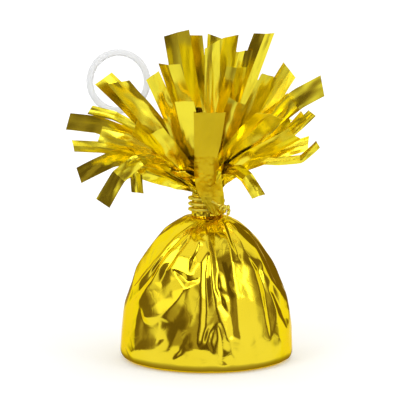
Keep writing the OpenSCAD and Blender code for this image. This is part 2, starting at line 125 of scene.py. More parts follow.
def add_node(nodes, kind, **inputs):
    """A new shader node with some inputs set. An underscore stands for the space in an input's name."""
    node = nodes.new("ShaderNode" + kind)
    for name, value in inputs.items():
        node.inputs[name.replace("_", " ")].default_value = value
    return node


def new_material(name, **inputs):
    material = bpy.data.materials.new(name)
    nodes = cleared(material)
    out = add_node(nodes, "OutputMaterial")
    shader = add_node(nodes, "BsdfPrincipled", **inputs)
    join(shader.outputs["BSDF"], out, "Surface")
    place = add_node(nodes, "TexCoord")
    return material, nodes, shader, place.outputs["Object"]


def noise_node(nodes, place, scale, detail=3.0, roughness=0.5, stretch=None):
    """A noise texture. scale is its cells to a metre."""
    if stretch:
        mapping = add_node(nodes, "Mapping", Scale=stretch)
        join(place, mapping, "Vector")
        place = mapping.outputs["Vector"]
    texture = add_node(nodes, "TexNoise", Scale=scale, Detail=detail, Roughness=roughness)
    join(place, texture, "Vector")
    return texture.outputs["Fac"]


def ramp(nodes, value, *stops):
    """A colour between two stops, each a value and a colour."""
    node = add_node(nodes, "ValToRGB")
    for element, (at, colour) in zip(node.color_ramp.elements, stops):
        element.position = at
        element.color = (*colour, 1)
    join(value, node, "Fac")
    return node.outputs["Color"]


def spread(nodes, value, low, high, from_low=0.0, from_high=1.0):
    node = add_node(nodes, "MapRange", From_Min=from_low, From_Max=from_high, To_Min=low, To_Max=high)
    join(value, node, "Value")
    return node.outputs["Result"]


def bump(nodes, height, strength, distance, before=None):
    node = add_node(nodes, "Bump", Strength=strength, Distance=distance)
    join(height, node, "Height")
    if before is not None:
        join(before, node, "Normal")
    return node.outputs["Normal"]


# Noise scales of the foil, in cells to a metre, depths in metres, and the crumple lines' bend and width
TONE_SCALE, HAZE_SCALE, WAVE_SCALE, NET_SCALE, SWIRL_SCALE = 30, 70, 120, 190, 90
WAVE_DEPTH, FINE_DEPTH = 0.0012, 0.0001
NET_BEND, NET_WIDTH = 0.006, 0.09


def crumple_lines(nodes, place):
    """The height over a net of crooked crease lines, lowest on the lines."""
    swirl = add_node(nodes, "TexNoise", Scale=SWIRL_SCALE)
    join(place, swirl, "Vector")
    small = add_node(nodes, "VectorMath")
    small.operation = "SCALE"
    small.inputs["Scale"].default_value = NET_BEND
    join(swirl.outputs["Color"], small, 0)
    warp = add_node(nodes, "VectorMath")
    warp.operation = "ADD"
    join(place, warp, 0)
    join(small.outputs["Vector"], warp, 1)
    net = add_node(nodes, "TexVoronoi", Scale=NET_SCALE)
    net.feature = "DISTANCE_TO_EDGE"
    join(warp.outputs["Vector"], net, "Vector")
    return spread(nodes, net.outputs["Distance"], 0.0, 1.0, 0.0, NET_WIDTH)


def foil_material(name, light, deep, waviness, roughness, coat, crumple=0):
    """Lacquered metallised film: soft waves, uneven lacquer and, with crumple, a net of crease lines."""
    material, nodes, shader, place = new_material(
        name, Metallic=1.0, Specular_Tint=(1.0, 0.8, 0.12, 1), Coat_Weight=coat, Coat_Roughness=0.06,
    )
    tone = noise_node(nodes, place, TONE_SCALE, 2.0)
    join(ramp(nodes, tone, (0.3, deep), (0.62, light)), shader, "Base Color")
    haze = noise_node(nodes, place, HAZE_SCALE, 2.0)
    join(spread(nodes, haze, *roughness, 0.3, 0.7), shader, "Roughness")
    height = noise_node(nodes, place, WAVE_SCALE, 1.0)
    normal = bump(nodes, height, waviness, WAVE_DEPTH)
    if crumple:
        normal = bump(nodes, crumple_lines(nodes, place), crumple, FINE_DEPTH, normal)
    join(normal, shader, "Normal")
    return material


def plastic_material(name, base, dark, roughness, grain, **milk):
    """Moulded plastic with a faint flow texture. milk is transmission and IOR, where light comes through."""
    material, nodes, shader, place = new_material(name, **milk)
    flow = noise_node(nodes, place, grain, stretch=(1, 1, 2.5))
    join(ramp(nodes, flow, (0.35, dark), (0.65, base)), shader, "Base Color")
    join(spread(nodes, flow, *roughness), shader, "Roughness")
    fine = noise_node(nodes, place, grain * 3, 1.0)
    join(bump(nodes, fine, 0.02, FINE_DEPTH), shader, "Normal")
    return material


def mineral_material(name, base, dark, pit_scale, depth, roughness):
    """Cast plaster or grey board: mottled, pitted and matt."""
    material, nodes, shader, place = new_material(name)
    cloud = noise_node(nodes, place, 60, 5.0, 0.6)
    join(ramp(nodes, cloud, (0.3, dark), (0.7, base)), shader, "Base Color")
    join(spread(nodes, cloud, *roughness), shader, "Roughness")
    pits = noise_node(nodes, place, pit_scale, 4.0, 0.7)
    join(bump(nodes, pits, 0.6, depth), shader, "Normal")
    return material


def wire_material(name, base, dark):
    """Steel with the fine lines of drawing along it."""
    material, nodes, shader, place = new_material(name, Metallic=1.0)
    drawn = noise_node(nodes, place, 900, 2.0, stretch=(1, 1, 0.1))
    join(ramp(nodes, drawn, (0.3, dark), (0.7, base)), shader, "Base Color")
    join(spread(nodes, drawn, 0.25, 0.45), shader, "Roughness")
    join(bump(nodes, drawn, 0.3, FINE_DEPTH), shader, "Normal")
    return material


foil_wrap_look = foil_material(
    "gold_foil_wrap", (0.98, 0.765, 0.033), (0.93, 0.71, 0.022),
    waviness=0.1, roughness=(0.08, 0.15), coat=0.06, crumple=0.08,
)
foil_strip_look = foil_material(
    "gold_foil_strips", (1.0, 0.86, 0.05), (0.98, 0.83, 0.04),
    waviness=0.07, roughness=(0.16, 0.24), coat=0.1,
)
# The front strip's foil is a rougher copy of the strips' foil with a darker colour, and that darker colour is
# painted shade
front_strip_shaded_look = foil_material(
    "gold_foil_front_shaded", (0.82, 0.61, 0.016), (0.76, 0.55, 0.012),
    waviness=0.06, roughness=(0.34, 0.42), coat=0.06,
)
foil_tie_look = foil_material(
    "gold_foil_tie", (1.0, 0.87, 0.12), (0.97, 0.82, 0.08),
    waviness=0.4, roughness=(0.26, 0.38), coat=0, crumple=0.1,
)
ring_look = plastic_material(
    "frosted_ring_plastic", (0.88, 0.885, 0.89), (0.85, 0.86, 0.87), (0.3, 0.38), 40,
    Transmission_Weight=0.65, IOR=1.2,
)
anchor_look = plastic_material(
    "anchor_plastic", (0.93, 0.94, 0.95), (0.84, 0.85, 0.87), (0.2, 0.35), 110,
    Transmission_Weight=0.6, IOR=1.42,
)
cup_look = plastic_material("cup_plastic", (0.86, 0.86, 0.84), (0.78, 0.78, 0.75), (0.35, 0.5), 90)
plaster_look = mineral_material(
    "cast_plaster", (0.82, 0.80, 0.76), (0.68, 0.66, 0.62), 420, 0.0006, (0.8, 0.95),
)
board_look = mineral_material(
    "grey_board", (0.55, 0.44, 0.31), (0.42, 0.33, 0.23), 900, 0.0003, (0.75, 0.9),
)
wire_look = wire_material("drawn_steel_wire", (0.62, 0.61, 0.58), (0.42, 0.41, 0.39))


def dress(obj, material):
    obj.data.materials.clear()
    obj.data.materials.append(material)


def stand_for(node, obj, look):
    """Gives a piece of the weight's own body its look, and puts it in the place of a CAD node."""
    dress(obj, look)
    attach(obj, "root")
    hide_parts(node)


# Foil wrap, with the sizes that part.scad works out: the half axes of its ellipse, the radius of its rounded
# foot, and the neck's radius and top. The ellipse runs from FIRST_T to LAST_T, the neck starts at NECK_LOW.
WRAP_A, WRAP_B = 36.0, 61.95
FOOT_C = 3.7
NECK_R = 6.2
NECK_TOP = 69.524
FIRST_T = math.degrees(math.asin(FOOT_C / WRAP_B))
LAST_T = math.degrees(math.acos(NECK_R / WRAP_A))
NECK_LOW = WRAP_B * math.sin(math.radians(LAST_T))
SKIN_T = 0.25

# Lines of the crumpled skin, each a chain of (azimuth, percent of the way up the dome, height in mm). Chains
# of high points are ridges, and those of low points valleys. In front they follow the photograph.
CREASES = [
    [(-2, 68, 1.3), (-4, 57, 1.4), (-4, 44, 1.4), (-4, 36, 1.4), (-4, 22, 1.4), (-6, 9, 1.3), (-4, -3, 0.8)],
    [(1, 57, 0.4), (-1, 44, 0.3), (0, 33, 0.3), (-1, 19, 0.3), (-3, 13, 0.3)],
    [(-2, 96, 1), (2, 79, 1.3), (3, 64, 1.5), (4, 52, 1.6), (5, 40, 1.6), (7, 30, 1.6), (10, 22, 1.5),
     (14, 13, 1.4), (16, 6, 1.2), (20, -4, 0.8)],
    [(14, 94, 0.4), (11, 79, 0.4), (9, 64, 0.3), (10, 52, 0.2), (9, 40, 0.3), (11, 32, 0.4)],
    [(7, 30, 1.6), (7, 22, 1.2), (8, 16, 1), (8, 0, 0.8)],
    [(9, 19, 0.3), (11, 9, 0.2), (11, 3, 0.3)],
    [(0, 12, 1), (2, 16, 1.2), (7, 22, 1.3)],
    [(3, 13, 0.3), (4, 17, 0.4)],
    [(-5, 12, 0.9), (0, 11, 1), (5, 5, 1), (9, -2, 0.8)],
    [(38, 93, 1.1), (31, 81, 1.3), (27, 68, 1.5), (24, 56, 1.3), (23, 46, 1.3), (23, 36, 1.3), (23, 25, 1.2),
     (24, 12, 1.1), (26, -3, 0.7)],
    [(18, 70, 0.5), (15, 56, 0.3), (16, 47, 0.2), (17, 36, 0.3), (17, 25, 0.3), (18, 15, 0.4)],
    [(11, 41, 0.9), (19, 39, 1.1), (22, 41, 1.2)],
    [(10, 34, 1), (14, 33, 1.1), (23, 36, 1.3)],
    [(53, 96, 1), (57, 86, 1.2), (45, 71, 1.3), (41, 62, 1.2), (34, 54, 1.1)],
    [(40, 87, 0.3), (34, 72, 0.2), (33, 60, 0.3)],
    [(42, 64, 1.3), (44, 58, 1.3), (45, 51, 1.4), (45, 42, 1.2), (45, 31, 1.2), (45, 20, 1.1), (47, 10, 1),
     (51, 0, 0.6)],
    [(31, 43, 0.9), (33, 32, 0.8), (33, 21, 0.7), (35, 11, 0.7), (37, 2, 0.6)],
    [(51, 49, 0.5), (51, 37, 0.4), (49, 27, 0.4), (49, 17, 0.4)],
    [(46, 50, 1.2), (53, 47, 1.4), (61, 41, 1.5), (70, 33, 1.4), (82, 25, 1.3), (82, 18, 1.2), (71, 11, 0.9)],
    [(55, 37, 1.1), (57, 31, 1.2), (59, 24, 1.1), (71, 13, 0.9)],
    [(62, 33, 0.3), (67, 24, 0.3), (70, 18, 0.3)],
    [(80, 99, 0.9), (70, 86, 1.2), (68, 74, 1.3), (61, 62, 1.4), (59, 53, 1.3), (61, 41, 1.5)],
    [(90, 90, 0.3), (90, 76, 0.3), (74, 59, 0.3), (73, 42, 0.3)],
    [(-5, 94, 0.9), (-34, 81, 1.2), (-44, 70, 1.3), (-48, 59, 1.4), (-54, 50, 1.4), (-64, 41, 1.4),
     (-74, 35, 1.3)],
    [(-31, 88, 0.4), (-47, 76, 0.3), (-55, 61, 0.2), (-63, 50, 0.3), (-73, 39, 0.4)],
    [(-7, 94, 0.9), (-23, 79, 1.2), (-31, 69, 1.3), (-39, 61, 1.4), (-44, 51, 1.5), (-49, 42, 1.4),
     (-54, 36, 1.4), (-58, 30, 1.3), (-56, 27, 1.2)],
    [(-35, 74, 0.4), (-45, 62, 0.2), (-50, 51, 0.2), (-56, 41, 0.3), (-63, 34, 0.4)],
    [(-16, 89, 1), (-20, 74, 1.3), (-25, 67, 1.3), (-29, 59, 1.4), (-32, 51, 1.5), (-25, 46, 1.3),
     (-17, 40, 1.4)],
    [(-25, 69, 0.3), (-32, 59, 0.3), (-38, 49, 0.2), (-41, 42, 0.2)],
    [(-32, 51, 1.5), (-18, 48, 1.3), (-6, 47, 1.2), (-4, 44, 1.4)],
    [(-22, 48, 0.3), (-15, 44, 0.3)],
    [(-17, 87, 1), (-15, 70, 1.2), (-16, 58, 1.2), (-15, 48, 1.2)],
    [(-9, 87, 1), (-9, 72, 1.2), (-11, 64, 1.3), (-8, 56, 1.3), (-14, 48, 1.2)],
    [(-8, 68, 0.4), (-13, 57, 0.3)],
    [(-38, 39, 0.4), (-29, 38, 0.5), (-33, 33, 0.5), (-38, 39, 0.4)],
    [(-17, 40, 1.3), (-21, 34, 1.5), (-33, 24, 2), (-47, 22, 1.9), (-47, 28, 1), (-40, 30, 0.8),
     (-33, 33, 0.6), (-17, 40, 1.3)],
    [(-41, 19, 0.7), (-35, 11, 0.2), (-45, 11, 0.2)],
    [(-34, 22, 1.5), (-34, 16, 1), (-36, 8, 0.9)],
    [(-17, 40, 1.3), (-17, 32, 1.1), (-24, 21, 1.1), (-28, 13, 1), (-34, 9, 0.9)],
    [(-12, 30, 1.1), (-10, 19, 1.1), (-9, 8, 1)],
    [(-12, 30, 1.1), (-19, 19, 1), (-26, 6, 1), (-24, 2, 0.7), (-14, 7, 0.7), (-9, 8, 1)],
    [(-16, 12, 0.2), (-20, 6, 0.2)],
    [(-56, 27, 1.2), (-57, 21, 1.1), (-57, 14, 1), (-56, 4, 0.8), (-55, -2, 0.5)],
    [(-50, 20, 0.4), (-50, 10, 0.3)],
    [(-80, 23, 1.1), (-76, 17, 0.9), (-76, 7, 0.8)],
    [(-72, 29, 0.3), (-67, 19, 0.3), (-65, 10, 0.4)],
    [(-61, 1, 1), (-63, -1, 0.3)],
    [(51, 14, 0.9), (57, 11, 0.9), (51, 10, 0.7)],
    [(61, 7, 1), (72, 7, 0.8)],
    [(30, 2, 0.9), (38, -2, 0.7), (51, 0, 0.6)],
    [(-97, -3, 0.6), (-94, 20, 1.1), (-92, 45, 1.4), (-80, 70, 1.4), (-52, 95, 0.9)],
    [(-106, 2, 0.3), (-104, 35, 0.2), (-96, 60, 0.3), (-75, 90, 0.4)],
    [(-118, -3, 0.5), (-115, 25, 1.2), (-110, 50, 1.3), (-98, 75, 1.2), (-84, 96, 0.8)],
    [(-129, 15, 0.3), (-125, 40, 0.2), (-116, 70, 0.3), (-103, 93, 0.4)],
    [(-140, 10, 0.4), (-138, 40, 1.3), (-130, 65, 1.4), (-116, 95, 0.9)],
    [(-150, 30, 0.2), (-147, 55, 0.2), (-138, 80, 0.3), (-128, 94, 0.4)],
    [(-160, -3, 0.5), (-161, 25, 1.1), (-158, 50, 1.5), (-150, 75, 1.3), (-140, 96, 0.8)],
    [(-170, 10, 0.4), (-169, 40, 0.2), (-165, 70, 0.3), (-156, 93, 0.4)],
    [(-178, 15, 0.8), (-179, 45, 1.3), (-174, 70, 1.4), (-168, 95, 0.9)],
    [(172, 5, 0.4), (171, 30, 0.3), (171, 60, 0.2), (176, 90, 0.4)],
    [(163, -3, 0.6), (161, 30, 1.3), (160, 60, 1.4), (163, 95, 0.9)],
    [(151, 10, 0.4), (152, 40, 0.2), (149, 70, 0.3), (148, 93, 0.4)],
    [(142, -3, 0.4), (143, 20, 1), (140, 50, 1.4), (132, 80, 1.2), (130, 96, 0.8)],
    [(131, 10, 0.4), (130, 40, 0.2), (124, 70, 0.3), (115, 93, 0.4)],
    [(119, 5, 0.3), (121, 30, 1.1), (118, 60, 1.4), (104, 85, 1.1), (96, 96, 0.8)],
    [(106, 5, 0.6), (108, 30, 0.3), (105, 60, 0.2), (97, 85, 0.4)],
    [(96, -4, 0.4), (97, 10, 1), (94, 30, 1.4), (90, 50, 1.4), (84, 75, 1.2), (74, 95, 0.8)],
    [(-150, 30, 0.9), (-140, 22, 0.2), (-128, 30, 1), (-122, 16, 0.5)],
    [(150, 36, 0.9), (156, 22, 0.3), (170, 30, 1)],
    [(108, 42, 0.8), (112, 30, 0.3), (121, 30, 1.1)],
]
# The skin as a flat drawing: mm to a degree, and mm from foot to neck
FLAT_X, FLAT_Y = 0.55, 74.0
UPRIGHT_R = 85.0  # radius of the dome's own curve from foot to neck
MEAN_H, OPEN_H = 0.5, 0.35  # height where pleats start and lines cross, and outside the drawing
MERGE = 0.4  # points closer than this are one
PLEATS, PLEAT_GAP = 36, 1.5  # pleats below the neck, and how far they keep from other lines
SHORT_AZ, SPARE_AZ = 70, 85  # azimuths within which pleats are short, and loose points rare
POINT_ROWS, ROW_POINTS, FOOT_POINTS = 8, 20, 34
POINT_GAP, FRONT_GAP, FOOT_GAP = 6.5, 11, 3.5  # how far loose points keep from others
SHARD_COLUMNS, SHARD_STEP, SHARD_H = 26, 8.5, 0.3  # shards round the skin, their rise and greatest height
SHARD_ROWS = range(-1, 11)


def facets(points, edges, heights, crossing):
    """Triangles of (x, y, height) over points of the drawing. crossing is the height where edges cross."""
    found, _, triangles, originals, _, _ = delaunay_2d_cdt([Vector(p) for p in points], edges, [], 0, 0.01)
    corners = np.array([[*v, heights[o[0]] if o else crossing] for v, o in zip(found, originals)])
    return corners[np.array(triangles)]


def crease_field(seed):
    """Facets of the crumpled skin: the creases, the pleats below the neck, and loose points between them."""
    rnd = random.Random(seed)
    points, edges, heights = [], [], []

    def put(azimuth, up, height):
        x, y = azimuth * FLAT_X, up * FLAT_Y
        for k, p in enumerate(points):
            if abs(p[0] - x) < MERGE and abs(p[1] - y) < MERGE:
                return k
        points.append((x, y))
        heights.append(height)
        return len(points) - 1

    def draw(line):
        ids = [put(*corner) for corner in line]
        edges.extend((a, b) for a, b in zip(ids, ids[1:]) if a != b)

    def nearest(azimuth, up):
        return min(math.hypot(azimuth * FLAT_X - p[0], up * FLAT_Y - p[1]) for p in points)

    for line in CREASES:
        draw([(azimuth, percent / 100, height) for azimuth, percent, height in line])
    for k in range(PLEATS):
        azimuth = -180 + 360 * (k + rnd.uniform(-0.25, 0.25)) / PLEATS
        low = rnd.uniform(0.9, 0.94) if abs(azimuth) < SHORT_AZ else rnd.uniform(0.7, 0.86)
        high = 0.4 if k % 2 else 0.8
        line = [(azimuth + rnd.uniform(-2, 2), up, MEAN_H + (high - MEAN_H) * j / 2)
                for j, up in enumerate((low, (low + 1) / 2, 1.0))]
        if nearest(line[0][0], low) > PLEAT_GAP:
            draw(line)
    for row in range(POINT_ROWS + 1):
        up = -0.03 + 0.95 * row / POINT_ROWS
        count = FOOT_POINTS if row == 0 else ROW_POINTS
        for k in range(count):
            azimuth = -180 + 360 * (k + rnd.uniform(0.1, 0.9)) / count
            at = up + rnd.uniform(-0.03, 0.03)
            height = rnd.uniform(0.3, 0.9)
            gap = FOOT_GAP if row == 0 else FRONT_GAP if abs(azimuth) < SPARE_AZ else POINT_GAP
            if nearest(azimuth, at) > gap:
                put(azimuth, at, height)
    # Copies past both sides of the drawing, so that the facets meet at the back
    own_points, own_edges = list(points), list(edges)
    for shift in (-360, 360):
        copies = {}
        for k, (x, y) in enumerate(own_points):
            if abs(x + shift * FLAT_X) < 235 * FLAT_X:
                copies[k] = len(points)
                points.append((x + shift * FLAT_X, y))
                heights.append(heights[k])
        edges += [(copies[a], copies[b]) for a, b in own_edges if a in copies and b in copies]
    return facets(points, edges, heights, MEAN_H)


def shard_field(seed):
    """Shallow flat shards between the folds, up to SHARD_H up or down."""
    rnd = random.Random(seed)
    step = 360 * FLAT_X / SHARD_COLUMNS
    grid = {}
    for j in SHARD_ROWS:
        for i in range(SHARD_COLUMNS):
            grid[i, j] = (rnd.uniform(-0.42, 0.42), rnd.uniform(-0.42, 0.42), rnd.uniform(-1, 1) * SHARD_H)
    points, heights = [], []
    for i in range(-4, SHARD_COLUMNS + 5):
        for j in SHARD_ROWS:
            dx, dy, high = grid[i % SHARD_COLUMNS, j]
            points.append((-180 * FLAT_X + (i + dx) * step, (j + dy) * SHARD_STEP))
            heights.append(high)
    return facets(points, [], heights, 0)


def field_heights(triangles, azimuths, ups):
    """The facets' height at each azimuth (columns) and share up (rows). Each facet has a third of the dome's
    own curve taken out of it, so that two fields together leave it nearly flat."""
    def sag(p, q):
        return ((p[0] - q[0]) ** 2 / WRAP_A + (p[1] - q[1]) ** 2 / UPRIGHT_R) / 6

    tiny, slack = 1e-9, 1e-6
    xs, ys = np.asarray(azimuths) * FLAT_X, np.asarray(ups) * FLAT_Y
    out = np.full((len(ys), len(xs)), OPEN_H)
    for a, b, c in triangles:
        low, high = np.minimum(np.minimum(a, b), c), np.maximum(np.maximum(a, b), c)
        i0, i1 = np.searchsorted(xs, [low[0], high[0]])
        j0, j1 = np.searchsorted(ys, [low[1], high[1]])
        det = (b[1] - c[1]) * (a[0] - c[0]) + (c[0] - b[0]) * (a[1] - c[1])
        if i0 == i1 or j0 == j1 or abs(det) < tiny:
            continue
        gx, gy = np.meshgrid(xs[i0:i1], ys[j0:j1])
        u = ((b[1] - c[1]) * (gx - c[0]) + (c[0] - b[0]) * (gy - c[1])) / det
        v = ((c[1] - a[1]) * (gx - c[0]) + (a[0] - c[0]) * (gy - c[1])) / det
        w = 1 - u - v
        inside = (u >= -slack) & (v >= -slack) & (u + v <= 1 + slack)
        flat = u * a[2] + v * b[2] + w * c[2]
        bent = flat - u * v * sag(a, b) - v * w * sag(b, c) - w * u * sag(c, a)
        out[j0:j1, i0:i1][inside] = bent[inside]
    return out


def softened(field, times):
    """Rounds the ridges a little, so that each carries a thin highlight."""
    for _ in range(times):
        side = (np.roll(field, 1, axis=1) + np.roll(field, -1, axis=1)) / 2
        field = field * 0.5 + side * 0.5
        tall = field.copy()
        tall[1:-1] = (field[:-2] + field[2:]) / 4 + field[1:-1] / 2
        field = tall
    return field


# Rings of the flat underside, and rows of the rounded foot, the dome and the neck
FOOT_RINGS = (3.0, 14.0, 24.0, 29.0, 31.2)
FOOT_ROWS, DOME_ROWS, NECK_ROWS, SKIN_COLUMNS = 7, 170, 12, 480
# Shares up: under the foot, where its rounding starts, and what the neck adds to the ellipse's 1
UNDER_UP, FOOT_UP, NECK_UP = -0.09, -0.05, 0.1
EDGE_LIFT = 0.4  # how far the skin stands above the neck's top
FILL_H, FULL_R = 0.6, 26  # height of the skin near the neck, and the radius from which creases are full
SKIN_PLEATS, SKIN_PLEAT_H = 26, 0.28


def wrap_profile():
    """Rows of (radius, height, outward normal's radius and height, share up), from the underside up."""
    profile = [(r, 0.0, 0.0, -1.0, UNDER_UP) for r in FOOT_RINGS]
    side = WRAP_A * math.cos(math.radians(FIRST_T))
    for k in range(FOOT_ROWS):
        t = math.radians(90 * k / FOOT_ROWS)
        s, c = math.sin(t), math.cos(t)
        up = FOOT_UP - FOOT_UP * k / FOOT_ROWS
        profile.append((side - FOOT_C + FOOT_C * s, FOOT_C - FOOT_C * c, s, -c, up))
    for k in range(DOME_ROWS + 1):
        up = k / DOME_ROWS
        t = math.radians(FIRST_T + (LAST_T - FIRST_T) * up)
        nr, nz = math.cos(t) / WRAP_A, math.sin(t) / WRAP_B
        size = math.hypot(nr, nz)
        profile.append((WRAP_A * math.cos(t), WRAP_B * math.sin(t), nr / size, nz / size, up))
    for k in range(1, NECK_ROWS + 1):
        z = blended(NECK_LOW, NECK_TOP + EDGE_LIFT, k / NECK_ROWS)
        profile.append((NECK_R, z, 1.0, 0.0, 1 + NECK_UP * k / NECK_ROWS))
    return profile


def wrap_skin():
    azimuths = -180 + 360 * np.arange(SKIN_COLUMNS) / SKIN_COLUMNS
    profile = wrap_profile()
    ups = np.array([row[-1] for row in profile])
    rising = np.array([ease((up + 0.01) / 0.12) for up in ups])
    field = field_heights(crease_field(11), azimuths, np.clip(ups, -0.035, 0.99))
    field += field_heights(shard_field(23), azimuths, ups) * rising[:, None]
    field = softened(field, 2)
    outside, inside = [], []
    for j, (r, z, nr, nz, up) in enumerate(profile):
        foot = ease((up - FOOT_UP) / -FOOT_UP)
        below_neck = ease((up - 0.93) / 0.07)
        full = clamp(r / FULL_R, 0.3, 1)
        for i, azimuth in enumerate(azimuths):
            here = Vector(around(azimuth, r, z))
            fine = noise.noise(here * 0.1) * 0.25 + noise.noise(here * 0.3 + Vector((7, 3, 1))) * 0.03
            creased = blended(FILL_H, field[j, i], full) * blended(1.0, 0.5, below_neck)
            h = foot * (creased - 0.1 + fine * full)
            if up > 1:
                tooth = abs((azimuth * SKIN_PLEATS / 360 + 0.3 * fine) % 1 - 0.5) * 2
                h = blended(h, SKIN_PLEAT_H * (tooth - 1), ease((up - 1) / 0.03))
            radius, height = r + h * nr, z + h * nz
            outside.append(around(azimuth, radius, max(0.0, height)))
            # The underside is flat, and its inner face lies above the outer one
            inner = SKIN_T if j < len(FOOT_RINGS) else height - SKIN_T * nz
            inside.append(around(azimuth, radius - SKIN_T * nr, inner))
    faces = sleeve_faces(len(profile), SKIN_COLUMNS)
    faces.append(tuple(range(SKIN_COLUMNS - 1, -1, -1)))
    faces.append(tuple(range(len(outside), len(outside) + SKIN_COLUMNS)))
    return add_mesh("foil_wrap_skin", outside + inside, faces)


wrap = wrap_skin()
stand_for("foil_wrap", wrap, foil_wrap_look)


# Fringe, with the sizes of part.scad: its reach and rise, a full strip's width, the gather's three steps, and
# the circle and gaps of the strips' roots on them
REACH, RISE, STRIP_W = 58.0, 69.0, 9.0
GATHER_SEAT, GATHER_PLEAT, SOCKET_R, STEP_H = 0.65, 0.35, 1.9, 1.5
STEP_RS = [NECK_R - GATHER_SEAT, NECK_R * 0.72, NECK_R * 0.5]
ROOT_RS = [(outer - GATHER_PLEAT + inner) / 2 for outer, inner in zip(STEP_RS, STEP_RS[1:] + [SOCKET_R])]
ROOT_INSET, ROOT_GAP = 0.425, 0.3
LEAN_SHARE = 0.4

